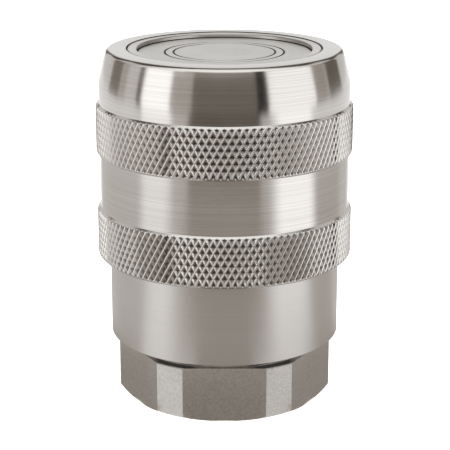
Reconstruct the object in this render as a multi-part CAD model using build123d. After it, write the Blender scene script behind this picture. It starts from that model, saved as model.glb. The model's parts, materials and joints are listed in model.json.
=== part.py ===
from build123d import *
import os
from math import cos, pi, radians, sin, sqrt, tan

# Flat-face hydraulic quick coupler, socket half, in stainless steel.
# It stands on its wrench hex with the mating face up. The unit is the millimetre,
# +Z is the coupling axis and the origin is the centre of the hex end's face.

# Clearances
slide_gap = 0.1
seat_gap = 0.05
seal_gap = 0.05
stop_gap = 0.1
edge_break = 0.15

# Valve stem and its fastening
stem_head_radius = 8.65
stem_head_height = 5.6
stem_shaft_radius = 3.5
stem_flare_radius = 6.3
stem_flare_height = 3.2
stem_thread_radius = 3.0
stem_thread_tip = 0.3
stem_gland_depth = 1.25
stem_gland_cover = 1.9
nut_across_flats = 10.0
nut_height = 3.0
washer_radius = 5.0
washer_thickness = 0.6

# Valve sleeve and its guide
valve_wall = 1.4
valve_collar_width = 1.75
valve_collar_height = 2.9
valve_spring_wire = 1.3
valve_spring_side_room = 0.25
valve_spring_turns = 9
valve_end_room = 0.5
guide_wall = 1.75
guide_flange_height = 3.0
guide_gland_depth = 1.3
valve_gland_depth = 1.05
valve_backup_height = 0.8
valve_gland_cover = 0.8

# Face ring
ring_plate_height = 3.2
ring_skirt_wall = 1.3
ring_flange_height = 1.8
ring_end_room = 2.6
ring_spring_wire = 1.2
ring_spring_inner_room = 0.25
ring_spring_outer_room = 0.15
ring_spring_turns = 10
ring_gland_depth = 0.85
ring_gland_cover = 1.0
face_recess = 0.7
coupling_travel = 15.5

# Coupler body
nose_wall = 1.6
nose_collar_height = 6.4
mid_step = 0.8
main_bore_step = 0.75
rear_bore_step = 0.85
nose_gland_depth = 1.3
nose_gland_cover = 0.7
nose_backup_height = 1.1
joint_line = 0.15

# Rear adapter and stem support
hex_across_flats = 34.9
hex_corner_rise = 1.4
hex_height = 9.7
hex_foot_inset = 0.05
hex_foot_angle = 30.0
hex_collar_inset = 0.4
hex_collar_height = 1.3
spigot_height = 7.0
spigot_gland_depth = 1.5
spigot_gland_cover = 2.4
adapter_backup_height = 1.1
port_radius = 12.05
port_mouth_chamfer = 1.0
throat_step = 1.55
support_height = 3.5
slot_count = 4
slot_angle = 62.0
slot_inner_radius = 5.3
slot_width = 4.2
slot_corner_radius = 1.0

# Locking balls
ball_radius = 2.0
ball_count = 12
ball_hole_gap = 0.05
ball_lip_radius = 1.85
ball_lip_height = 0.4
ball_side_wall = 1.2
ball_outer_room = 0.15

# Sleeve return spring, its washer and the stop ring
sleeve_spring_wire = 1.6
sleeve_spring_side_room = 0.6
sleeve_spring_turns = 5
spring_washer_height = 0.9
spring_washer_side_room = 0.2
stop_ring_wire = 1.2
stop_ring_catch = 0.25
stop_ring_side_wall = 0.35
stop_ring_opening = 14.0

# Locking sleeve
sleeve_lead = 0.1
sleeve_pull = 3.8
sleeve_pull_room = 0.2
sleeve_wall = 1.4
lip_gap = 0.15
crown_round = 0.95
cone_height = 5.6
cone_angle = 13.75
collar_height = 3.55
knurl_rise = 0.6
knurl_shoulder = 0.6
knurl_starts = 114
knurl_pitch = 2.2
knurl_half_rows = 7
knurl_depth = 0.5
knurl_end_depth = 0.2
knurl_end_ledge = 0.02
band_height = 9.3
land_rise = 0.5
land_height = 3.4
ramp_gap = 0.12
sleeve_guide_overlap = 5.75

# Radii from the axis outward
valve_bore = stem_head_radius + slide_gap
valve_radius = valve_bore + valve_wall
valve_collar_bore = valve_bore - valve_collar_width
guide_bore = valve_radius + slide_gap
guide_radius = guide_bore + guide_wall
ring_bore = valve_radius + slide_gap
ring_spring_radius = guide_radius + ring_spring_inner_room + ring_spring_wire / 2
ring_skirt_bore = ring_spring_radius + ring_spring_wire / 2 + ring_spring_outer_room
ring_radius = ring_skirt_bore + ring_skirt_wall
nose_bore = ring_radius + slide_gap
main_bore = nose_bore + main_bore_step
rear_bore = main_bore + rear_bore_step
ring_flange_radius = main_bore - slide_gap
guide_flange_radius = main_bore - slide_gap
spigot_radius = rear_bore - slide_gap
nose_radius = nose_bore + nose_wall
mid_radius = nose_radius + mid_step
chamber_radius = mid_radius + 2 * sleeve_spring_side_room + sleeve_spring_wire
body_radius = chamber_radius - slide_gap
barrel_radius = chamber_radius + sleeve_wall
knurl_radius = barrel_radius + knurl_rise
knurl_shoulder_radius = knurl_radius - knurl_end_depth - knurl_end_ledge
lip_bore = nose_radius + lip_gap
land_radius = mid_radius + land_rise
ball_circle_radius = nose_bore + ball_radius
ball_hole_radius = ball_radius + ball_hole_gap
ball_groove_radius = ball_circle_radius + ball_radius + ball_outer_room
stop_ring_radius = land_radius + stop_ring_catch - stop_ring_wire / 2
stop_groove_radius = stop_ring_radius - stop_ring_wire / 2 - seat_gap
valve_spring_radius = valve_bore - valve_spring_side_room - valve_spring_wire / 2
sleeve_spring_radius = (mid_radius + chamber_radius) / 2
hex_corner_radius = hex_across_flats / 2 + hex_corner_rise
hex_foot_radius = hex_across_flats / 2 - hex_foot_inset
hex_collar_radius = hex_across_flats / 2 - hex_collar_inset
throat_radius = port_radius - throat_step

# Seal sections
stem_seal_section = stem_gland_depth + slide_gap - 2 * seal_gap
valve_seal_section = valve_gland_depth + slide_gap - 2 * seal_gap
guide_seal_section = guide_gland_depth + slide_gap - 2 * seal_gap
ring_seal_section = ring_gland_depth + slide_gap - 2 * seal_gap
nose_seal_section = nose_gland_depth + slide_gap - 2 * seal_gap
adapter_seal_section = spigot_gland_depth + slide_gap - 2 * seal_gap

# Heights from the foot upward
spigot_bottom = hex_height + hex_collar_height
spigot_top = spigot_bottom + spigot_height
support_top = spigot_top + support_height
guide_flange_top = support_top + guide_flange_height
ring_bottom = guide_flange_top + ring_end_room + coupling_travel
ring_flange_top = ring_bottom + ring_flange_height
body_shoulder = ring_flange_top + stop_gap
nose_gland_bottom = body_shoulder + nose_gland_cover
nose_gland_top = nose_gland_bottom + nose_seal_section + nose_backup_height + 3 * seal_gap
ball_height = nose_gland_top + ball_side_wall + ball_hole_radius
stop_groove_bottom = ball_height + ball_hole_radius + stop_ring_side_wall
stop_groove_top = stop_groove_bottom + stop_ring_wire + 2 * seat_gap
stop_ring_height = (stop_groove_bottom + stop_groove_top) / 2
mid_top = stop_groove_top + stop_ring_side_wall
body_top = mid_top + nose_collar_height
body_bottom = spigot_bottom + joint_line
face_level = body_top - face_recess
ring_plate_bottom = face_level - ring_plate_height
guide_top = ring_plate_bottom - coupling_travel - valve_end_room
valve_bottom = support_top + valve_end_room + coupling_travel
stem_head_bottom = face_level - stem_head_height
valve_collar_top = stem_head_bottom - stop_gap
valve_collar_bottom = valve_collar_top - valve_collar_height
stem_end = spigot_top - washer_thickness - nut_height - stem_thread_tip
port_depth = stem_end - stop_gap
sleeve_top = body_top + sleeve_lead
lip_bottom = mid_top + sleeve_pull + sleeve_pull_room
cone_bottom = sleeve_top - cone_height
knurl_height = knurl_half_rows * knurl_pitch / 2
upper_knurl_top = cone_bottom - collar_height
upper_knurl_bottom = upper_knurl_top - knurl_height - 2 * knurl_shoulder
lower_knurl_top = upper_knurl_bottom - band_height
sleeve_bottom = lower_knurl_top - knurl_height - 2 * knurl_shoulder
ramp_top = ball_height + ball_groove_radius - ball_circle_radius - sqrt(2) * (ball_radius + ramp_gap)
land_top = ramp_top - (ball_groove_radius - land_radius)
land_bottom = land_top - land_height
spring_washer_top = land_bottom - stop_gap
spring_washer_bottom = spring_washer_top - spring_washer_height
body_step = sleeve_bottom + sleeve_guide_overlap


def turned(outline, rounded=()):
    """Solid of revolution from (radius, height) points, with some corners rounded."""
    section = make_face(Polyline(*outline, close=True))
    for corner, radius in rounded:
        section = fillet(section.vertices().sort_by_distance((*corner, 0))[0], radius)
    return revolve(Plane.XZ * section, Axis.Z)


def ring(inner, outer, bottom, top):
    """Ring of rectangular section."""
    return turned([(inner, bottom), (outer, bottom), (outer, top), (inner, top)])


def seal_ring(wall_a, wall_b, bottom):
    """O-ring that fills the radial space between two walls, resting at a height."""
    section = abs(wall_b - wall_a) / 2 - seal_gap
    centre = Plane.XZ * Pos((wall_a + wall_b) / 2, bottom + seal_gap + section)
    return revolve(centre * Circle(section), Axis.Z)


def backup_ring(wall_a, wall_b, top, height):
    """Flat anti-extrusion ring at the upper end of a gland."""
    low, high = sorted((wall_a, wall_b))
    return ring(low + seal_gap, high - seal_gap, top - seal_gap - height, top - seal_gap)


def coil_spring(mean_radius, wire, bottom, top, turns):
    """Round-wire compression spring between two seats."""
    rise = top - bottom - wire - 2 * seat_gap
    start = bottom + seat_gap + wire / 2
    path = Helix(pitch=rise / turns, height=rise, radius=mean_radius, center=(0, 0, start))
    wire_section = Plane(origin=path @ 0, z_dir=path % 0) * Circle(wire / 2)
    return sweep(wire_section, path=path, is_frenet=True)


def around(count):
    """Equally spaced turns about the axis."""
    return [Rot(0, 0, 360 * place / count) for place in range(count)]


def make_coupler_body():
    body = turned([
        (rear_bore, body_bottom),
        (body_radius - edge_break, body_bottom),
        (body_radius, body_bottom + edge_break),
        (body_radius, body_step),
        (mid_radius, body_step),
        (mid_radius, mid_top),
        (nose_radius, mid_top),
        (nose_radius, body_top - edge_break),
        (nose_radius - edge_break, body_top),
        (nose_bore + edge_break, body_top),
        (nose_bore, body_top - edge_break),
        (nose_bore, body_shoulder),
        (main_bore, body_shoulder),
        (main_bore, support_top),
        (rear_bore, support_top),
    ])
    body -= ring(ring_radius, nose_bore + nose_gland_depth, nose_gland_bottom, nose_gland_top)
    body -= ring(stop_groove_radius, body_radius, stop_groove_bottom, stop_groove_top)
    lip_end = nose_bore + ball_lip_height
    drill = Pos(0, 0, ball_height) * Rot(0, 90, 0)
    pocket = drill * Pos(0, 0, (lip_end + body_radius) / 2) * Cylinder(ball_hole_radius, body_radius - lip_end)
    mouth = drill * Pos(0, 0, (ring_skirt_bore + body_radius) / 2) * Cylinder(
        ball_lip_radius, body_radius - ring_skirt_bore)
    for turn in around(ball_count):
        body -= turn * (pocket + mouth)
    return body


def make_rear_adapter():
    foot_bevel = (hex_corner_radius - hex_foot_radius) * tan(radians(hex_foot_angle))
    prism = extrude(RegularPolygon(hex_across_flats / 2, 6, major_radius=False), hex_height)
    prism &= turned([
        (0, 0),
        (hex_foot_radius, 0),
        (hex_corner_radius, foot_bevel),
        (hex_corner_radius, hex_height - edge_break),
        (hex_corner_radius - edge_break, hex_height),
        (0, hex_height),
    ])
    gland_bottom = spigot_bottom + spigot_gland_cover
    spigot = turned([
        (0, 0),
        (throat_radius, 0),
        (throat_radius, hex_height),
        (hex_collar_radius, hex_height),
        (hex_collar_radius, spigot_bottom),
        (spigot_radius, spigot_bottom),
        (spigot_radius, gland_bottom),
        (spigot_radius - spigot_gland_depth, gland_bottom),
        (spigot_radius - spigot_gland_depth, gland_bottom + adapter_gland_height()),
        (spigot_radius, gland_bottom + adapter_gland_height()),
        (spigot_radius, spigot_top - edge_break),
        (spigot_radius - edge_break, spigot_top),
        (0, spigot_top),
    ])
    passage = turned([
        (0, 0),
        (port_radius + port_mouth_chamfer, 0),
        (port_radius, port_mouth_chamfer),
        (port_radius, port_depth),
        (throat_radius, port_depth),
        (throat_radius, spigot_top),
        (0, spigot_top),
    ])
    return prism + spigot - passage


def adapter_gland_height():
    return adapter_seal_section + adapter_backup_height + 3 * seal_gap


def make_adapter_seal():
    return seal_ring(spigot_radius - spigot_gland_depth, rear_bore, spigot_bottom + spigot_gland_cover)


def make_adapter_backup_ring():
    gland_top = spigot_bottom + spigot_gland_cover + adapter_gland_height()
    return backup_ring(spigot_radius - spigot_gland_depth, rear_bore, gland_top, adapter_backup_height)


def make_stem_support():
    """Disc that carries the stem, with curved slots for the oil."""
    disc = ring(stem_thread_radius + seat_gap, spigot_radius, spigot_top, support_top)
    outline = Plane.XZ * make_face(Polyline(
        (slot_inner_radius, spigot_top),
        (slot_inner_radius + slot_width, spigot_top),
        (slot_inner_radius + slot_width, support_top),
        (slot_inner_radius, support_top),
        close=True,
    ))
    slot = revolve(outline, Axis.Z, slot_angle)
    slot = fillet(slot.edges().filter_by(Axis.Z), slot_corner_radius)
    for turn in around(slot_count):
        disc -= turn * slot
    return disc


def make_stem_washer():
    return ring(stem_thread_radius + seat_gap, washer_radius, spigot_top - washer_thickness, spigot_top)


def make_stem_nut():
    top = spigot_top - washer_thickness
    prism = extrude(RegularPolygon(nut_across_flats / 2, 6, major_radius=False), nut_height)
    prism -= Cylinder(stem_thread_radius + seat_gap, 3 * nut_height)
    return Pos(0, 0, top - nut_height) * prism


def make_valve_stem():
    gland_top = face_level - stem_gland_cover
    gland_bottom = gland_top - stem_seal_section - 2 * seal_gap
    floor = stem_head_radius - stem_gland_depth
    return turned([
        (0, stem_end),
        (stem_thread_radius - edge_break, stem_end),
        (stem_thread_radius, stem_end + edge_break),
        (stem_thread_radius, support_top),
        (stem_shaft_radius, support_top),
        (stem_shaft_radius, stem_head_bottom - stem_flare_height),
        (stem_flare_radius, stem_head_bottom),
        (stem_head_radius, stem_head_bottom),
        (stem_head_radius, gland_bottom),
        (floor, gland_bottom),
        (floor, gland_top),
        (stem_head_radius, gland_top),
        (stem_head_radius, face_level - edge_break),
        (stem_head_radius - edge_break, face_level),
        (0, face_level),
    ])


def make_stem_seal():
    bottom = face_level - stem_gland_cover - stem_seal_section - 2 * seal_gap
    return seal_ring(stem_head_radius - stem_gland_depth, valve_bore, bottom)


def make_valve_guide():
    flange_gland = guide_seal_section + 2 * seal_gap
    gland_bottom = support_top + (guide_flange_height - flange_gland) / 2
    tube_gland_top = guide_top - valve_gland_cover
    tube_gland_bottom = tube_gland_top - valve_seal_section - valve_backup_height - 3 * seal_gap
    return turned([
        (guide_bore, support_top),
        (guide_flange_radius, support_top),
        (guide_flange_radius, gland_bottom),
        (guide_flange_radius - guide_gland_depth, gland_bottom),
        (guide_flange_radius - guide_gland_depth, gland_bottom + flange_gland),
        (guide_flange_radius, gland_bottom + flange_gland),
        (guide_flange_radius, guide_flange_top),
        (guide_radius, guide_flange_top),
        (guide_radius, guide_top),
        (guide_bore, guide_top),
        (guide_bore, tube_gland_top),
        (guide_bore + valve_gland_depth, tube_gland_top),
        (guide_bore + valve_gland_depth, tube_gland_bottom),
        (guide_bore, tube_gland_bottom),
    ])


def make_valve_guide_seal():
    bottom = support_top + (guide_flange_height - guide_seal_section) / 2 - seal_gap
    return seal_ring(guide_flange_radius - guide_gland_depth, main_bore, bottom)


def make_valve_sleeve_seal():
    gland_top = guide_top - valve_gland_cover
    bottom = gland_top - valve_seal_section - valve_backup_height - 3 * seal_gap
    return seal_ring(valve_radius, guide_bore + valve_gland_depth, bottom)


def make_valve_sleeve_backup_ring():
    gland_top = guide_top - valve_gland_cover
    return backup_ring(valve_radius, guide_bore + valve_gland_depth, gland_top, valve_backup_height)


def make_valve_sleeve():
    return turned([
        (valve_bore, valve_bottom),
        (valve_radius - edge_break, valve_bottom),
        (valve_radius, valve_bottom + edge_break),
        (valve_radius, face_level - edge_break),
        (valve_radius - edge_break, face_level),
        (valve_bore + edge_break, face_level),
        (valve_bore, face_level - edge_break),
        (valve_bore, valve_collar_top),
        (valve_collar_bore, valve_collar_top),
        (valve_collar_bore, valve_collar_bottom),
        (valve_bore, valve_collar_bottom),
    ])


def make_valve_spring():
    return coil_spring(
        valve_spring_radius, valve_spring_wire, support_top, valve_collar_bottom, valve_spring_turns)


def make_face_ring():
    gland_top = face_level - ring_gland_cover
    gland_bottom = gland_top - ring_seal_section - 2 * seal_gap
    return turned([
        (ring_bore, ring_plate_bottom),
        (ring_bore, gland_bottom),
        (ring_bore + ring_gland_depth, gland_bottom),
        (ring_bore + ring_gland_depth, gland_top),
        (ring_bore, gland_top),
        (ring_bore, face_level - edge_break),
        (ring_bore + edge_break, face_level),
        (ring_radius - edge_break, face_level),
        (ring_radius, face_level - edge_break),
        (ring_radius, ring_flange_top),
        (ring_flange_radius, ring_flange_top),
        (ring_flange_radius, ring_bottom),
        (ring_skirt_bore, ring_bottom),
        (ring_skirt_bore, ring_plate_bottom),
    ])


def make_face_ring_wiper():
    bottom = face_level - ring_gland_cover - ring_seal_section - 2 * seal_gap
    return seal_ring(valve_radius, ring_bore + ring_gland_depth, bottom)


def make_face_ring_spring():
    return coil_spring(
        ring_spring_radius, ring_spring_wire, guide_flange_top, ring_plate_bottom, ring_spring_turns)


def make_nose_seal():
    return seal_ring(ring_radius, nose_bore + nose_gland_depth, nose_gland_bottom)


def make_nose_backup_ring():
    return backup_ring(ring_radius, nose_bore + nose_gland_depth, nose_gland_top, nose_backup_height)


def make_locking_balls():
    ball = Pos(ball_circle_radius, 0, ball_height) * Sphere(ball_radius)
    return Compound(children=[turn * ball for turn in around(ball_count)])


def make_sleeve_stop_ring():
    section = Plane.XZ * Pos(stop_ring_radius, stop_ring_height) * Circle(stop_ring_wire / 2)
    return revolve(section, Axis.Z, 360 - stop_ring_opening)


def make_sleeve_spring_washer():
    return ring(
        mid_radius + spring_washer_side_room,
        chamber_radius - spring_washer_side_room,
        spring_washer_bottom,
        spring_washer_top,
    )


def make_sleeve_spring():
    return coil_spring(
        sleeve_spring_radius, sleeve_spring_wire, body_step, spring_washer_bottom, sleeve_spring_turns)


def knurl_band(top):
    """Outline of a band before it is knurled, from its upper shoulder down."""
    crest_top = top - knurl_shoulder
    crest_bottom = crest_top - knurl_height
    return [
        (barrel_radius, top),
        (knurl_shoulder_radius, crest_top),
        (knurl_radius, crest_top),
        (knurl_radius, crest_bottom),
        (knurl_shoulder_radius, crest_bottom),
        (barrel_radius, crest_bottom - knurl_shoulder),
    ]


def knurl_point(column, row, crest_top):
    """Corner of the knurl: the crossing of two ridges, or the bottom of the pit beside it."""
    radius = knurl_radius
    if (column + row) % 2:
        radius -= knurl_end_depth if row in (0, knurl_half_rows) else knurl_depth
    angle = pi * column / knurl_starts
    return radius * cos(angle), radius * sin(angle), crest_top - row * knurl_pitch / 2


def knurl_ledge(row, crest_top):
    """Flat zigzag face between a band's shoulder and the first or last row of the knurl."""
    corners = [knurl_point(column, row, crest_top) for column in range(2 * knurl_starts)]
    inner = Edge.make_circle(knurl_shoulder_radius, Plane.XY.offset(corners[0][2]))
    return Face(Wire.make_polygon(corners, close=True), [Wire([inner])])


def knurl_pit(column, row, crest_top):
    """Sloping sides of one pit; a pit in the first or last row is a half one."""
    pit = knurl_point(column, row, crest_top)
    sides = []
    for beyond in (row - 1, row + 1):
        if 0 <= beyond <= knurl_half_rows:
            end = knurl_point(column, beyond, crest_top)
            for beside in (column - 1, column + 1):
                corner = knurl_point(beside, row, crest_top)
                sides.append(Face(Wire.make_polygon([pit, corner, end], close=True)))
    return sides


def knurl_faces(top):
    """Diamond knurl of a band: sharp ridges that cross, with a pointed pit in each diamond."""
    crest_top = top - knurl_shoulder
    faces = [knurl_ledge(0, crest_top), knurl_ledge(knurl_half_rows, crest_top)]
    for row in range(knurl_half_rows + 1):
        for column in range(2 * knurl_starts):
            if (column + row) % 2:
                faces += knurl_pit(column, row, crest_top)
    return faces


def make_locking_sleeve():
    crown = (barrel_radius - cone_height * tan(radians(cone_angle)), sleeve_top)
    blank = turned([
        (lip_bore, sleeve_top - edge_break),
        (lip_bore + edge_break, sleeve_top),
        crown,
        (barrel_radius, cone_bottom),
        *knurl_band(upper_knurl_top),
        *knurl_band(lower_knurl_top),
        (chamber_radius, sleeve_bottom),
        (chamber_radius, land_bottom),
        (land_radius, land_bottom),
        (land_radius, land_top),
        (ball_groove_radius, ramp_top),
        (ball_groove_radius, lip_bottom),
        (lip_bore, lip_bottom),
    ], rounded=[(crown, crown_round)])
    below_crest = (knurl_shoulder_radius + knurl_radius) / 2
    plain_faces = [face for face in blank.faces() if face.bounding_box().max.X < below_crest]
    faces = plain_faces + knurl_faces(upper_knurl_top) + knurl_faces(lower_knurl_top)
    return Solid(Shell(faces))


pieces = {
    "coupler_body": make_coupler_body(),
    "rear_adapter": make_rear_adapter(),
    "adapter_seal": make_adapter_seal(),
    "adapter_backup_ring": make_adapter_backup_ring(),
    "stem_support": make_stem_support(),
    "stem_washer": make_stem_washer(),
    "stem_nut": make_stem_nut(),
    "valve_stem": make_valve_stem(),
    "stem_seal": make_stem_seal(),
    "valve_guide": make_valve_guide(),
    "valve_guide_seal": make_valve_guide_seal(),
    "valve_sleeve_seal": make_valve_sleeve_seal(),
    "valve_sleeve_backup_ring": make_valve_sleeve_backup_ring(),
    "valve_sleeve": make_valve_sleeve(),
    "valve_spring": make_valve_spring(),
    "face_ring": make_face_ring(),
    "face_ring_wiper": make_face_ring_wiper(),
    "face_ring_spring": make_face_ring_spring(),
    "nose_seal": make_nose_seal(),
    "nose_backup_ring": make_nose_backup_ring(),
    "locking_balls": make_locking_balls(),
    "sleeve_stop_ring": make_sleeve_stop_ring(),
    "locking_sleeve": make_locking_sleeve(),
    "sleeve_spring_washer": make_sleeve_spring_washer(),
    "sleeve_spring": make_sleeve_spring(),
}

os.makedirs("parts", exist_ok=True)
for name, piece in pieces.items():
    export_step(piece, f"parts/{name}.step")
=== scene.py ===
import json
from math import cos, hypot, pi, radians, sin, tan

import bmesh
import bpy
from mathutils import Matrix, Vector


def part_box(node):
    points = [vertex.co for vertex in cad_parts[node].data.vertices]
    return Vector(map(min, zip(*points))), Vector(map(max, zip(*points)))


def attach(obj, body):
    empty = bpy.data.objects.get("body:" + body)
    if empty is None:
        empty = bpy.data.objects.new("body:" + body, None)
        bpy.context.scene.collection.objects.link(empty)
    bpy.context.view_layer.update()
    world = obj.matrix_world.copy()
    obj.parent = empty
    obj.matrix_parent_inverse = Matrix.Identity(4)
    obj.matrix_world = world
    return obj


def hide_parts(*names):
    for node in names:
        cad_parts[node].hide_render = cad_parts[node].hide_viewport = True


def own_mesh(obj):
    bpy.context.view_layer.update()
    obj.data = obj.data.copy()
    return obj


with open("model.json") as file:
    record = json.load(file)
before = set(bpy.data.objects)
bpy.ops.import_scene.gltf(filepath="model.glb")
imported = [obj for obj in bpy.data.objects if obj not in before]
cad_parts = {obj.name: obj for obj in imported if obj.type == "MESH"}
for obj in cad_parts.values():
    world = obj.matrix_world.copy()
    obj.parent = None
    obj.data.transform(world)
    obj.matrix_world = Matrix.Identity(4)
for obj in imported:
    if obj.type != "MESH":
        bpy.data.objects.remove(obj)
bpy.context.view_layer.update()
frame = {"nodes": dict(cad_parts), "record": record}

MM = 0.001
FULL_TURN = 360
ZENITH = 90
WHITE = (1, 1, 1)

# Places read from the frame
SLEEVE_LOW, SLEEVE_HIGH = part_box("locking_sleeve")
RING_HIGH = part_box("face_ring")[1]

# Locking sleeve: sizes of its outside, then of its inside; radii are from the axis
CREST_RADIUS = SLEEVE_HIGH.x
KNURL_RISE = 0.6 * MM
BARREL_RADIUS = CREST_RADIUS - KNURL_RISE
CROWN_ROUND = 0.95 * MM
CONE_HEIGHT = 5.6 * MM
CONE_ANGLE = radians(13.75)
COLLAR_HEIGHT = 3.55 * MM
BAND_HEIGHT = 9.3 * MM
SLEEVE_WALL = 1.4 * MM
CHAMBER_RADIUS = BARREL_RADIUS - SLEEVE_WALL
LIP_BORE = 16.75 * MM
LIP_DEPTH = 2.5 * MM
BALL_GROOVE_RADIUS = 19.15 * MM
BALL_GROOVE_DEPTH = 11.4 * MM
LAND_RADIUS = 17.9 * MM
LAND_HEIGHT = 3.4 * MM
EDGE_ROUND = 0.12 * MM
ROUND_SEGMENTS = 8
SLEEVE_SHARP = radians(18)

# Diamond knurl: two families of ridges that cross, with a pointed pit in each diamond
KNURL_STARTS = 114
KNURL_PITCH = 2.2 * MM
KNURL_HALF_ROWS = 7
KNURL_DEPTH = 0.58 * MM
KNURL_SHOULDER = 0.6 * MM
STEPS_PER_HALF_ROW = 4
KNURL_STEP = KNURL_PITCH / 2 / STEPS_PER_HALF_ROW
KNURL_STEPS = KNURL_HALF_ROWS * STEPS_PER_HALF_ROW

# Depth below the crests down to which an edge counts as one on a ridge
RIDGE_DROP = 0.02 * MM

# Mating face: the running gaps between its rings, as (radius, height of the rings' faces)
RECESS_GAP = 14.95 * MM
FACE_GAPS = (
    (8.7 * MM, RING_HIGH.z),
    (10.2 * MM, RING_HIGH.z),
    (RECESS_GAP, RING_HIGH.z),
    (16.675 * MM, SLEEVE_HIGH.z),
)

# Springs: turns of each closed, ground end and its rise as a share of the wire, then the samples
# along a turn and around the wire
GROUND_END_TURNS = 1.0
END_RISE_SHARE = 0.55
COIL_SAMPLES = 48
WIRE_SAMPLES = 14
COIL_SHARP = radians(40)
MATING_TRAVEL = 15.5 * MM
SLEEVE_TRAVEL = 3.8 * MM

# Each spring: node, wire thickness, open turns, joint and the joint's travel
SPRINGS = [
    ("valve_spring", 1.3 * MM, 8, "valve_sleeve_slide", MATING_TRAVEL),
    ("face_ring_spring", 1.2 * MM, 9, "face_ring_slide", MATING_TRAVEL),
    ("sleeve_spring", 1.6 * MM, 4, "sleeve_slide", SLEEVE_TRAVEL),
]


def steps(count):
    """Fractions from 0 to 1."""
    return [index / count for index in range(count + 1)]


def smooth_step(low, high, value):
    """Eased share of the way from low to high."""
    share = min(1.0, max(0.0, (value - low) / (high - low)))
    return share * share * (3 - 2 * share)


def add_object(name, mesh):
    """Scene object for a mesh."""
    piece = bpy.data.objects.new(name, mesh)
    bpy.context.scene.collection.objects.link(piece)
    return piece


def wrapped_quads(rows, columns):
    """Quads between rows of points that each close on themselves."""
    quads = []
    for row in range(rows - 1):
        for column in range(columns):
            beside = (column + 1) % columns
            here = row * columns
            beyond = here + columns
            quads.append((here + column, here + beside, beyond + beside, beyond + column))
    return quads


def soften(mesh, sharp_angle, worn=None):
    """Smooth shading, sharp where faces meet at more than an angle and the edge isn't worn."""
    work = bmesh.new()
    work.from_mesh(mesh)
    bmesh.ops.recalc_face_normals(work, faces=work.faces)
    for face in work.faces:
        face.smooth = True
    for edge in work.edges:
        edge.smooth = edge.calc_face_angle(0) < sharp_angle or (worn is not None and worn(edge))
    work.to_mesh(mesh)
    work.free()


def round_corners(corners):
    """Outline points from (radius, height, rounding) corners, each rounding as an arc."""
    points = []
    for index, (radius, height, rounding) in enumerate(corners):
        here = Vector((radius, height))
        if rounding == 0:
            points.append(here)
            continue
        before = (Vector(corners[index - 1][:2]) - here).normalized()
        after = (Vector(corners[(index + 1) % len(corners)][:2]) - here).normalized()
        half = before.angle(after) / 2
        centre = here + (before + after).normalized() * (rounding / sin(half))
        start = here + before * (rounding / tan(half)) - centre
        end = here + after * (rounding / tan(half)) - centre
        for share in steps(ROUND_SEGMENTS):
            points.append(centre + start.slerp(end, share) * start.length)
    return points


# Locking sleeve


def knurl_depth(column, row):
    """Depth below the crests at a point of the knurl grid: none on the ridges, most in the pits."""
    lines = (column + row, column - row)
    return KNURL_DEPTH * min(abs((line / STEPS_PER_HALF_ROW + 1) % 2 - 1) for line in lines)


def knurl_radius(column, row):
    """Radius at a point of the knurl grid, whose bevelled ends the pits cut into."""
    from_end = KNURL_SHOULDER + min(row, KNURL_STEPS - row) * KNURL_STEP
    bevel = BARREL_RADIUS + KNURL_RISE * min(1.0, from_end / KNURL_SHOULDER)
    return min(bevel, CREST_RADIUS - knurl_depth(column, row))


def knurl_hollow(column, row):
    """Share of the knurl's depth at a point; off the knurl, the share at which the painted light is
    neither raised nor lowered.
    """
    in_knurl = row is not None and 0 <= row <= KNURL_STEPS
    return knurl_depth(column, row) / KNURL_DEPTH if in_knurl else PIT_START


def knurl_rows(top):
    """Rows of one knurled band, from the top of its upper bevel down: (height, radius, knurl row)."""
    bevel_slope = KNURL_RISE / KNURL_SHOULDER
    pit_slope = KNURL_DEPTH / (KNURL_PITCH / 2)
    scallop = KNURL_DEPTH / (bevel_slope + pit_slope) / KNURL_STEP
    shoulder = KNURL_SHOULDER / KNURL_STEP
    upper = [-shoulder, -scallop, -1]
    lower = [KNURL_STEPS - row for row in reversed(upper)]
    rows = upper + list(range(KNURL_STEPS + 1)) + lower
    return [(top - (row + shoulder) * KNURL_STEP, CREST_RADIUS, row) for row in rows]


def sleeve_rows():
    """Closed outline of the sleeve as (height, radius, knurl row or None), from the lip around."""
    top = SLEEVE_HIGH.z
    bottom = SLEEVE_LOW.z
    crown_radius = BARREL_RADIUS - CONE_HEIGHT * tan(CONE_ANGLE)
    cone_bottom = top - CONE_HEIGHT
    upper_knurl = cone_bottom - COLLAR_HEIGHT
    band_length = KNURL_HALF_ROWS * KNURL_PITCH / 2 + 2 * KNURL_SHOULDER
    lower_knurl = upper_knurl - band_length - BAND_HEIGHT
    land_top = top - BALL_GROOVE_DEPTH - (BALL_GROOVE_RADIUS - LAND_RADIUS)
    upper = round_corners([
        (LIP_BORE, top - LIP_DEPTH, 0),
        (LIP_BORE, top, EDGE_ROUND),
        (crown_radius, top, CROWN_ROUND),
        (BARREL_RADIUS, cone_bottom, 0),
    ])
    inner = [
        (CHAMBER_RADIUS, bottom),
        (CHAMBER_RADIUS, land_top - LAND_HEIGHT),
        (LAND_RADIUS, land_top - LAND_HEIGHT),
        (LAND_RADIUS, land_top),
        (BALL_GROOVE_RADIUS, top - BALL_GROOVE_DEPTH),
        (BALL_GROOVE_RADIUS, top - LIP_DEPTH),
    ]
    rows = [(point.y, point.x, None) for point in upper]
    rows += knurl_rows(upper_knurl)
    rows += knurl_rows(lower_knurl)
    rows += [(height, radius, None) for radius, height in inner]
    return rows


def knurl_quad(corners, column, row, next_row):
    """Two triangles of a knurl grid cell, split along the ridge direction so that both stay flat."""
    falling = abs(knurl_radius(column, row) - knurl_radius(column + 1, next_row))
    rising = abs(knurl_radius(column + 1, row) - knurl_radius(column, next_row))
    if falling < rising:
        return [corners[:3], (corners[0], corners[2], corners[3])]
    return [(corners[0], corners[1], corners[3]), corners[1:]]


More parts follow.
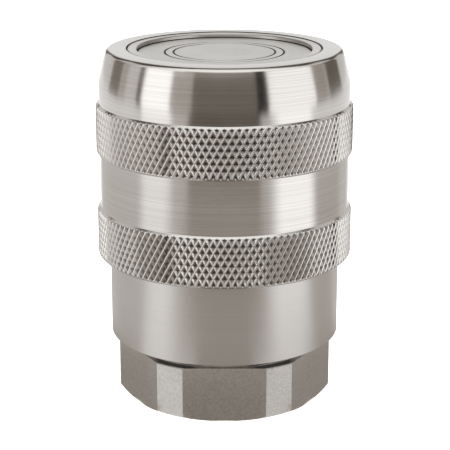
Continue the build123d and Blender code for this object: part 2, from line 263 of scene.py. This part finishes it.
def on_ridge(edge):
    """Whether an edge runs along a knurl ridge, which is rounded by wear."""
    return min(hypot(end.co.x, end.co.y) for end in edge.verts) > CREST_RADIUS - RIDGE_DROP


def make_locking_sleeve():
    """The sleeve's outline turned about the axis, with the knurl's grid in its two bands."""
    columns = 2 * KNURL_STARTS * STEPS_PER_HALF_ROW
    rows = sleeve_rows()
    points = []
    hollows = []
    for height, plain_radius, row in rows:
        for column in range(columns):
            angle = 2 * pi * column / columns
            radius = plain_radius if row is None else knurl_radius(column, row)
            points.append((radius * cos(angle), radius * sin(angle), height))
            hollows.append(knurl_hollow(column, row))
    faces = []
    for index in range(len(rows)):
        following = (index + 1) % len(rows)
        row = rows[index][2]
        next_row = rows[following][2]
        knurled = row is not None and next_row is not None and next_row > row
        for column in range(columns):
            beside = (column + 1) % columns
            corners = (
                index * columns + column,
                index * columns + beside,
                following * columns + beside,
                following * columns + column,
            )
            faces += knurl_quad(corners, column, row, next_row) if knurled else [corners]
    mesh = bpy.data.meshes.new("locking_sleeve_knurled")
    mesh.from_pydata(points, [], faces)
    mesh.attributes.new("hollow", "FLOAT", "POINT").data.foreach_set("value", hollows)
    soften(mesh, SLEEVE_SHARP, on_ridge)
    return add_object("locking_sleeve_knurled", mesh)


# Springs


def spring_height(turn, turns, wire, length):
    """Height of the wire's centre along a spring whose end turns lie flat."""
    end_rise = wire * END_RISE_SHARE
    rise = length - 2 * end_rise
    if turn <= GROUND_END_TURNS:
        return end_rise * turn / GROUND_END_TURNS
    if turn >= GROUND_END_TURNS + turns:
        return length - end_rise * (turns + 2 * GROUND_END_TURNS - turn) / GROUND_END_TURNS
    return end_rise + rise * (turn - GROUND_END_TURNS) / turns


def make_spring(name, node, wire, turns):
    """Compression spring with closed, ground ends in the space of its CAD solid."""
    low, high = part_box(node)
    length = high.z - low.z
    mean = high.x - wire / 2
    count = int((turns + 2 * GROUND_END_TURNS) * COIL_SAMPLES)
    points = []
    for index in range(count + 1):
        turn = index / COIL_SAMPLES
        height = spring_height(turn, turns, wire, length)
        angle = 2 * pi * turn
        for place in range(WIRE_SAMPLES):
            around = 2 * pi * place / WIRE_SAMPLES
            radius = mean + wire / 2 * cos(around)
            level = min(length, max(0.0, height + wire / 2 * sin(around)))
            points.append((radius * cos(angle), radius * sin(angle), low.z + level))
    faces = wrapped_quads(count + 1, WIRE_SAMPLES)
    for end in (0, count):
        faces.append(tuple(end * WIRE_SAMPLES + place for place in range(WIRE_SAMPLES)))
    mesh = bpy.data.meshes.new(name)
    mesh.from_pydata(points, [], faces)
    soften(mesh, COIL_SHARP)
    return add_object(name, mesh)


# Materials

# Painted light on the knurl: share of light painted on its ridges as a highlight and in its pits as
# shade, and the share of its depth where the painted light is neither raised nor lowered
PAINTED_RIDGE_HIGHLIGHT = 1.4
PAINTED_PIT_LIGHT = 0.34
PIT_START = 0.25

# Painted shade in the mouths of the running gaps: share of light, half width, fade, depth below the
# rings' faces, and the height above them from which the wall of the recess stays bright
GAP_LIGHT = 0.03
GAP_HALF = 0.13 * MM
GAP_FADE = 0.06 * MM
GAP_DEPTH = 0.12 * MM
WALL_FOOT = 0.1 * MM

# Painted shade on the neck above the hex: share of light behind a corner and behind a flat, each with
# its end of the cosine that is 1 in the middle of a flat and -1 at a corner, then the height of the
# neck's foot, just above the hex's top, and the fade to each side of it
NECK_LIGHT = 0.12
NECK_FLAT_LIGHT = 1.0
NECK_CORNER = -0.4
NECK_FLAT = 0.3
NECK_FOOT = 9.75 * MM
NECK_FADE = 0.05 * MM
HEX_FLATS = 6

# Range that the values of a noise mostly stay in
NOISE_LOW = 0.3
NOISE_HIGH = 0.7

# Marks on steel: detail and roughness of their noise, how much a turned line changes around the
# axis, and the scale of the clouds in the finish
MARK_DETAIL = 3.0
LINE_ROUGHNESS = 0.6
LINE_CHANGE = 0.35
GRAIN_ROUGHNESS = 0.7
CLOUD_SCALE = 140.0
CLOUD_ROUGHNESS = 0.5

# Stretch of the reflections on turned steel, and its direction as a share of a full turn
LINE_STRETCH = 0.7
STRETCH_TURN = 0.25

# Even grain of the other finishes
EVEN_DETAIL = 2.0
EVEN_ROUGHNESS = 0.5
EVEN_DEPTH = 0.02 * MM


def new_material(name):
    """Node material with its tree's nodes and links, and its shader."""
    material = bpy.data.materials.new(name)
    material.use_nodes = True
    tree = material.node_tree
    return material, tree.nodes, tree.links, tree.nodes["Principled BSDF"]


def object_place(nodes):
    """Place of a point in its object's own space."""
    return nodes.new("ShaderNodeTexCoord").outputs["Object"]


def stored_value(nodes, name):
    """Value that the mesh stores at its points."""
    node = nodes.new("ShaderNodeAttribute")
    node.attribute_name = name
    return node.outputs["Fac"]


def math_node(nodes, links, operation, *values):
    """Math node on numbers and sockets."""
    node = nodes.new("ShaderNodeMath")
    node.operation = operation
    for socket, value in zip(node.inputs, values):
        if isinstance(value, (int, float)):
            socket.default_value = value
        else:
            links.new(value, socket)
    return node.outputs[0]


def from_axis(nodes, links):
    """Separate coordinates of a point, and its distance from the axis."""
    split = nodes.new("ShaderNodeSeparateXYZ")
    links.new(object_place(nodes), split.inputs[0])
    square_x = math_node(nodes, links, "MULTIPLY", split.outputs["X"], split.outputs["X"])
    square_y = math_node(nodes, links, "MULTIPLY", split.outputs["Y"], split.outputs["Y"])
    total = math_node(nodes, links, "ADD", square_x, square_y)
    return split, math_node(nodes, links, "SQRT", total)


def lathe_coordinates(nodes, links, across, along):
    """Coordinates that change fast with radius and height and slowly around the axis."""
    split, radius = from_axis(nodes, links)
    turn = math_node(nodes, links, "ARCTAN2", split.outputs["Y"], split.outputs["X"])
    join = nodes.new("ShaderNodeCombineXYZ")
    links.new(math_node(nodes, links, "MULTIPLY", radius, across), join.inputs["X"])
    links.new(math_node(nodes, links, "MULTIPLY", split.outputs["Z"], across), join.inputs["Y"])
    links.new(math_node(nodes, links, "MULTIPLY", turn, along), join.inputs["Z"])
    return join.outputs[0]


def noise(nodes, links, vector, scale, detail, roughness):
    """Noise texture's value on given coordinates."""
    node = nodes.new("ShaderNodeTexNoise")
    node.inputs["Scale"].default_value = scale
    node.inputs["Detail"].default_value = detail
    node.inputs["Roughness"].default_value = roughness
    links.new(vector, node.inputs["Vector"])
    return node.outputs["Fac"]


def map_range(nodes, links, value, low, high, from_low=NOISE_LOW, from_high=NOISE_HIGH):
    """Value rescaled to a new range."""
    node = nodes.new("ShaderNodeMapRange")
    node.inputs["From Min"].default_value = from_low
    node.inputs["From Max"].default_value = from_high
    node.inputs["To Min"].default_value = low
    node.inputs["To Max"].default_value = high
    links.new(value, node.inputs["Value"])
    return node.outputs["Result"]


def tint(nodes, links, value, dark, light):
    """Colour between a dark and a light one."""
    node = nodes.new("ShaderNodeMix")
    node.data_type = "RGBA"
    node.inputs["A"].default_value = (*dark, 1)
    node.inputs["B"].default_value = (*light, 1)
    links.new(value, node.inputs["Factor"])
    return node.outputs["Result"]


def shaded(nodes, links, colour, share):
    """Colour times a share of painted light, which is above 1 for the painted highlight on the
    knurl's ridges.
    """
    node = nodes.new("ShaderNodeMix")
    node.data_type = "RGBA"
    node.blend_type = "MULTIPLY"
    node.inputs["Factor"].default_value = 1.0
    links.new(colour, node.inputs["A"])
    links.new(share, node.inputs["B"])
    return node.outputs["Result"]


def painted_knurl_light(nodes, links):
    """Painted highlight on the knurl's ridges and painted shade down in its pits."""
    hollow = stored_value(nodes, "hollow")
    ridge = map_range(nodes, links, hollow, PAINTED_RIDGE_HIGHLIGHT, 1.0, 0.0, PIT_START)
    pit = map_range(nodes, links, hollow, 1.0, PAINTED_PIT_LIGHT, PIT_START, 1.0)
    return math_node(nodes, links, "MULTIPLY", ridge, pit)


def painted_gap_shade(nodes, links):
    """Painted shade in the mouths of the running gaps in the mating face; the walls above and below
    stay unshaded.
    """
    split, radius = from_axis(nodes, links)
    height = split.outputs["Z"]
    foot = RING_HIGH.z + WALL_FOOT
    wall = map_range(nodes, links, height, 0.0, 1.0, foot, foot + GAP_FADE)
    share = None
    for gap, top in FACE_GAPS:
        offset = math_node(nodes, links, "SUBTRACT", radius, gap)
        offset = math_node(nodes, links, "ABSOLUTE", offset)
        light = map_range(nodes, links, offset, GAP_LIGHT, 1.0, GAP_HALF, GAP_HALF + GAP_FADE)
        mouth = top - GAP_DEPTH
        deep = map_range(nodes, links, height, 1.0, 0.0, mouth - GAP_FADE, mouth)
        light = math_node(nodes, links, "MAXIMUM", light, deep)
        if gap == RECESS_GAP:
            light = math_node(nodes, links, "MAXIMUM", light, wall)
        share = light if share is None else math_node(nodes, links, "MULTIPLY", share, light)
    return share


def sleeve_painted_light(nodes, links):
    """Painted highlight on the knurl's ridges, painted shade in its pits and in the mouth of the gap
    inside the lip.
    """
    return math_node(nodes, links, "MULTIPLY", painted_knurl_light(nodes, links), painted_gap_shade(nodes, links))


def painted_neck_shade(nodes, links):
    """Painted shade on the neck between the hex and the coupler body, behind each corner of the hex.
    """
    split = from_axis(nodes, links)[0]
    height = split.outputs["Z"]
    turn = math_node(nodes, links, "ARCTAN2", split.outputs["X"], split.outputs["Y"])
    wave = math_node(nodes, links, "COSINE", math_node(nodes, links, "MULTIPLY", turn, HEX_FLATS))
    corner = map_range(nodes, links, wave, NECK_LIGHT, NECK_FLAT_LIGHT, NECK_CORNER, NECK_FLAT)
    above = map_range(nodes, links, height, 0.0, 1.0, NECK_FOOT - NECK_FADE, NECK_FOOT + NECK_FADE)
    full_loss = math_node(nodes, links, "SUBTRACT", 1.0, corner)
    loss = math_node(nodes, links, "MULTIPLY", above, full_loss)
    return math_node(nodes, links, "SUBTRACT", 1.0, loss)


def bump(nodes, links, shader, height, depth, strength=1.0):
    """Bump from a height value into the shader's normal."""
    node = nodes.new("ShaderNodeBump")
    node.inputs["Strength"].default_value = strength
    node.inputs["Distance"].default_value = depth
    links.new(height, node.inputs["Height"])
    links.new(node.outputs["Normal"], shader.inputs["Normal"])


def steel(name, dark, light, rough, depth, pitch=None, grain=None, stretch=LINE_STRETCH, shade=None):
    """Stainless steel with lines turned around the axis at a pitch, or with a grain of its own."""
    material, nodes, links, shader = new_material(name)
    place = object_place(nodes)
    if grain:
        marks = noise(nodes, links, place, grain, MARK_DETAIL, GRAIN_ROUGHNESS)
    else:
        lathe = lathe_coordinates(nodes, links, 1 / pitch, LINE_CHANGE)
        marks = noise(nodes, links, lathe, 1.0, MARK_DETAIL, LINE_ROUGHNESS)
    clouds = noise(nodes, links, place, CLOUD_SCALE, MARK_DETAIL, CLOUD_ROUGHNESS)
    shader.inputs["Metallic"].default_value = 1.0
    shader.inputs["Anisotropic"].default_value = stretch
    shader.inputs["Anisotropic Rotation"].default_value = STRETCH_TURN
    colour = tint(nodes, links, map_range(nodes, links, marks, 0, 1), dark, light)
    if shade:
        colour = shaded(nodes, links, colour, shade(nodes, links))
    links.new(colour, shader.inputs["Base Color"])
    links.new(map_range(nodes, links, clouds, *rough), shader.inputs["Roughness"])
    tangent = nodes.new("ShaderNodeTangent")
    tangent.direction_type = "RADIAL"
    tangent.axis = "Z"
    links.new(tangent.outputs[0], shader.inputs["Tangent"])
    bump(nodes, links, shader, marks, depth)
    return material


def plain_finish(name, grain, dark, light, rough, metallic, strength):
    """Finish with an even fine grain and no lines."""
    material, nodes, links, shader = new_material(name)
    marks = noise(nodes, links, object_place(nodes), grain, EVEN_DETAIL, EVEN_ROUGHNESS)
    shader.inputs["Metallic"].default_value = metallic
    links.new(tint(nodes, links, marks, dark, light), shader.inputs["Base Color"])
    links.new(map_range(nodes, links, marks, *rough), shader.inputs["Roughness"])
    if strength:
        bump(nodes, links, shader, marks, EVEN_DEPTH, strength)
    return material


def paint(piece, material):
    """One material for the whole piece."""
    piece.data.materials.clear()
    piece.data.materials.append(material)


# Stainless steels: polished turned sleeve, satin body, milled hex, ground face, plain inside, wire
STEELS = {
    "sleeve_steel": {
        "dark": (0.55, 0.53, 0.505),
        "light": (0.67, 0.645, 0.615),
        "rough": (0.13, 0.17),
        "pitch": 0.11 * MM,
        "depth": 0.003 * MM,
        "shade": sleeve_painted_light,
    },
    "body_steel": {
        "dark": (0.585, 0.565, 0.54),
        "light": (0.615, 0.59, 0.565),
        "rough": (0.28, 0.34),
        "pitch": 0.2 * MM,
        "depth": 0.0015 * MM,
        "shade": painted_gap_shade,
    },
    "hex_steel": {
        "dark": (0.51, 0.49, 0.465),
        "light": (0.69, 0.67, 0.64),
        "rough": (0.26, 0.34),
        "grain": 2600.0,
        "depth": 0.006 * MM,
        "stretch": 0.0,
        "shade": painted_neck_shade,
    },
    "face_steel": {
        "dark": (0.61, 0.595, 0.57),
        "light": (0.67, 0.655, 0.63),
        "rough": (0.36, 0.42),
        "pitch": 0.3 * MM,
        "depth": 0.001 * MM,
        "stretch": 0.0,
        "shade": painted_gap_shade,
    },
    "inner_steel": {
        "dark": (0.50, 0.50, 0.49),
        "light": (0.58, 0.58, 0.57),
        "rough": (0.28, 0.36),
        "pitch": 0.3 * MM,
        "depth": 0.004 * MM,
    },
    "spring_steel": {
        "dark": (0.42, 0.41, 0.39),
        "light": (0.52, 0.51, 0.49),
        "rough": (0.24, 0.34),
        "pitch": 0.5 * MM,
        "depth": 0.002 * MM,
        "stretch": 0.2,
    },
}

# Polished bearing steel, black nitrile rubber and off-white PTFE
PLAIN_FINISHES = {
    "ball_steel": {
        "grain": 1200.0,
        "dark": (0.68, 0.68, 0.69),
        "light": (0.76, 0.76, 0.77),
        "rough": (0.08, 0.14),
        "metallic": 1.0,
        "strength": 0.0,
    },
    "seal_rubber": {
        "grain": 2500.0,
        "dark": (0.010, 0.010, 0.011),
        "light": (0.028, 0.028, 0.030),
        "rough": (0.42, 0.6),
        "metallic": 0.0,
        "strength": 0.25,
    },
    "backup_plastic": {
        "grain": 900.0,
        "dark": (0.70, 0.69, 0.64),
        "light": (0.82, 0.81, 0.77),
        "rough": (0.35, 0.5),
        "metallic": 0.0,
        "strength": 0.15,
    },
}


# Studio

# Camera fitted to the photograph: lens and sensor in mm, distance from the axis, rise above the
# mating face, tilt down and shift to the side
CAMERA_LENS = 118.8
SENSOR_WIDTH = 36.0
CAMERA_DISTANCE = 251.6 * MM
CAMERA_RISE = 43.1 * MM
CAMERA_PITCH = radians(16.38)
CAMERA_SIDE = 0.1 * MM
CLIP_START = 0.01
CLIP_END = 20.0

# Floor and white surroundings
FLOOR_HALF = 3.0
FLOOR_COLOUR = (0.93, 0.93, 0.93)
FLOOR_ROUGHNESS = 0.9
FLOOR_SHINE = 0.1
FLOOR_GLOW = 0.8
WORLD_LIGHT = 1.45

# Reflector: rings on the floor that start just outside the hex's foot, then rings of a dome
REFLECTOR_START = 17.6 * MM
REFLECTOR_LIFT = 0.1 * MM
REFLECTOR_COLUMNS = 360
FLOOR_RINGS = 70
DOME_RINGS = 90
DOME_RADIUS = 0.6
DOME_OUTSET = 0.1 * MM
DOME_LIFT = 0.5 * MM

# The dark parts of the studio are warm, the bright ones white
DARK_COLOUR = (1.0, 0.86, 0.73)
DARK_LEVEL = 0.15
WHITE_LEVEL = 0.85

# Panels of the dome: azimuth from the camera towards the right, half width, lowest and highest
# elevation, soft edge, all in degrees, then brightness
DOME_LEVEL = 0.72
DOME_PANELS = [
    (180, 24, -5, 64, 5, 0.9),
    (180, 95, 62, 120, 5, 0.1),
    (-125, 32, 44, 64, 4, 0.12),
    (125, 32, 44, 64, 4, 0.12),
    (-144, 14, 24, 46, 4, 0.12),
    (144, 14, 24, 46, 4, 0.12),
    (-159, 6, 8, 26, 3, 0.2),
    (159, 6, 8, 26, 3, 0.2),
    (-50, 27, 26, 82, 4, 1.25),
    (50, 27, 26, 82, 4, 1.25),
    (-85, 9, 28, 52, 4, 1.0),
    (85, 9, 28, 52, 4, 1.0),
    (0, 27, 34, 84, 4, 1.3),
    (0, 38, 27, 34, 4, 0.6),
    (0, 29, -8, 27, 3, 0.2),
    (-38, 9, -8, 26, 3, 0.52),
    (-63, 14, -8, 26, 3, 1.6),
    (-91, 12, -8, 26, 4, 0.74),
    (-103, 4, -8, 26, 4, 0.52),
    (-81.5, 2.5, -8, 26, 2, 0.18),
    (-117, 9, -3, 26, 4, 0.25),
    (64, 24, -8, 26, 4, 1.38),
    (97, 8, -8, 26, 3, 0.42),
    (119, 12, -3, 26, 4, 0.16),
    (33.5, 5, -3, 35, 2, 0.01),
]

# Panels of the floor: azimuth, half width, nearest and farthest radius in metres, soft edge in
# degrees, brightness
FLOOR_LEVEL = 0.66
FLOOR_BLUR = 0.08
FLOOR_PANELS = [
    (180, 30, 0.0, 0.7, 10, 1.0),
    (0, 34, 0.0, 0.17, 16, 0.42),
    (0, 34, 0.0, 0.085, 16, 0.5),
    (-62, 14, 0.1, 0.7, 14, 1.1),
    (-62, 14, 0.0, 0.1, 14, 0.95),
    (64, 20, 0.1, 0.7, 14, 1.45),
    (64, 20, 0.0, 0.1, 14, 0.9),
    (105, 18, 0.0, 0.7, 12, 0.55),
    (0, 31, 0.19, 0.7, 5, 0.12),
    (-62, 15, 0.21, 0.7, 5, 1.3),
    (-115, 36, 0.21, 0.7, 8, 0.95),
    (118, 34, 0.21, 0.7, 8, 0.95),
    (0, 180, 0.0, 0.043, 6, 0.36),
    (0, 24, 0.0, 0.043, 4, 0.3),
    (-47, 25, 0.034, 0.043, 4, 0.9),
    (-43, 21, 0.027, 0.034, 4, 0.9),
    (-38, 17, 0.0225, 0.027, 4, 0.9),
    (-31, 10, 0.0, 0.0225, 4, 0.9),
    (47, 25, 0.034, 0.043, 4, 0.8),
    (43, 21, 0.027, 0.034, 4, 0.8),
    (38, 17, 0.0225, 0.027, 4, 0.8),
    (31, 10, 0.0, 0.0225, 4, 0.8),
]


def turn_between(first, second):
    """Smallest turn between two azimuths, in degrees."""
    return abs((first - second + FULL_TURN / 2) % FULL_TURN - FULL_TURN / 2)


def side_share(azimuth, centre, half, edge):
    """Share of a panel in a direction, by its width and soft edge."""
    turn = turn_between(azimuth, centre)
    return 1 - smooth_step(half - edge / 2, half + edge / 2, turn)


def dome_level(azimuth, elevation):
    """Brightness of the studio's dome in a direction."""
    level = DOME_LEVEL
    for centre, half, low, high, edge, bright in DOME_PANELS:
        side = side_share(azimuth, centre, half, edge)
        above = smooth_step(low - edge / 2, low + edge / 2, elevation)
        below = 1 - smooth_step(high - edge / 2, high + edge / 2, elevation)
        level += (bright - level) * side * above * below
    return level


def floor_level(azimuth, radius):
    """Brightness of the studio's floor as the metal sees it."""
    level = FLOOR_LEVEL
    for centre, half, near, far, edge, bright in FLOOR_PANELS:
        side = side_share(azimuth, centre, half, edge)
        beyond = smooth_step(near * (1 - FLOOR_BLUR), near * (1 + FLOOR_BLUR), radius) if near else 1
        within = 1 - smooth_step(far * (1 - FLOOR_BLUR), far * (1 + FLOOR_BLUR), radius)
        level += (bright - level) * side * beyond * within
    return level


def reflector_rows():
    """Rings of the studio reflector: (radius, height, elevation or None on the floor)."""
    width = DOME_RADIUS - REFLECTOR_START
    rows = []
    for share in steps(FLOOR_RINGS):
        rows.append((REFLECTOR_START + width * share ** 2, REFLECTOR_LIFT, None))
    for share in steps(DOME_RINGS):
        elevation = ZENITH * share
        rise = radians(elevation)
        radius = DOME_RADIUS * cos(rise) + DOME_OUTSET
        height = DOME_RADIUS * sin(rise) + DOME_LIFT
        rows.append((radius, height, elevation))
    return rows


def reflector_glow():
    """Light of the reflector's panels, from the brightness stored at its points."""
    material = bpy.data.materials.new("studio_reflector")
    material.use_nodes = True
    nodes = material.node_tree.nodes
    links = material.node_tree.links
    nodes.clear()
    brightness = stored_value(nodes, "brightness")
    whiteness = map_range(nodes, links, brightness, 0.0, 1.0, DARK_LEVEL, WHITE_LEVEL)
    glow = nodes.new("ShaderNodeEmission")
    links.new(tint(nodes, links, whiteness, DARK_COLOUR, WHITE), glow.inputs["Color"])
    links.new(brightness, glow.inputs["Strength"])
    output = nodes.new("ShaderNodeOutputMaterial")
    links.new(glow.outputs[0], output.inputs["Surface"])
    return material


def make_reflector():
    """Panels that only reflections see, around the object and on the floor."""
    rows = reflector_rows()
    points = []
    levels = []
    for radius, height, elevation in rows:
        on_floor = elevation is None
        for column in range(REFLECTOR_COLUMNS):
            azimuth = FULL_TURN * column / REFLECTOR_COLUMNS
            angle = radians(azimuth)
            level = floor_level(azimuth, radius) if on_floor else dome_level(azimuth, elevation)
            points.append((radius * sin(angle), -radius * cos(angle), height))
            levels.append(level)
    mesh = bpy.data.meshes.new("studio_reflector")
    mesh.from_pydata(points, [], wrapped_quads(len(rows), REFLECTOR_COLUMNS))
    mesh.attributes.new("brightness", "FLOAT", "POINT").data.foreach_set("value", levels)
    piece = add_object("studio_reflector", mesh)
    paint(piece, reflector_glow())
    piece.visible_camera = False
    piece.visible_diffuse = False
    piece.visible_transmission = False
    piece.visible_shadow = False


def make_floor():
    """Plain pale floor."""
    half = FLOOR_HALF
    corners = [(-half, -half, 0), (half, -half, 0), (half, half, 0), (-half, half, 0)]
    mesh = bpy.data.meshes.new("floor")
    mesh.from_pydata(corners, [], [(0, 1, 2, 3)])
    piece = add_object("floor", mesh)
    material, _, _, shader = new_material("floor")
    shader.inputs["Base Color"].default_value = (*FLOOR_COLOUR, 1)
    shader.inputs["Roughness"].default_value = FLOOR_ROUGHNESS
    shader.inputs["Specular IOR Level"].default_value = FLOOR_SHINE
    shader.inputs["Emission Color"].default_value = (*WHITE, 1)
    shader.inputs["Emission Strength"].default_value = FLOOR_GLOW
    paint(piece, material)


def make_world():
    """Even white surroundings."""
    world = bpy.data.worlds.new("studio")
    world.use_nodes = True
    background = world.node_tree.nodes["Background"]
    background.inputs["Color"].default_value = (*WHITE, 1)
    background.inputs["Strength"].default_value = WORLD_LIGHT
    bpy.context.scene.world = world
    bpy.context.scene.view_settings.view_transform = "Standard"


def make_camera():
    """Camera at the photograph's viewing angle."""
    data = bpy.data.cameras.new("camera")
    data.lens = CAMERA_LENS
    data.sensor_width = SENSOR_WIDTH
    data.clip_start = CLIP_START
    data.clip_end = CLIP_END
    camera = bpy.data.objects.new("camera", data)
    camera.location = (CAMERA_SIDE, -CAMERA_DISTANCE, RING_HIGH.z + CAMERA_RISE)
    camera.rotation_euler = (pi / 2 - CAMERA_PITCH, 0, 0)
    bpy.context.scene.collection.objects.link(camera)
    bpy.context.scene.camera = camera


make_camera()
make_world()
make_floor()
make_reflector()

finishes = {name: steel(name, **look) for name, look in STEELS.items()}
finishes.update({name: plain_finish(name, **look) for name, look in PLAIN_FINISHES.items()})
slots = {row["node"]: row["material_slot"] for row in frame["record"]["subparts"]}
for node, piece in frame["nodes"].items():
    paint(piece, finishes[slots[node]])

sleeve = make_locking_sleeve()
paint(sleeve, finishes["sleeve_steel"])
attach(sleeve, "sleeve")
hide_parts("locking_sleeve")

for node, wire, turns, joint, travel in SPRINGS:
    spring = make_spring(node + "_coil", node, wire, turns)
    paint(spring, finishes["spring_steel"])
    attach(spring, "coupler")
    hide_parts(node)
    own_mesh(spring)
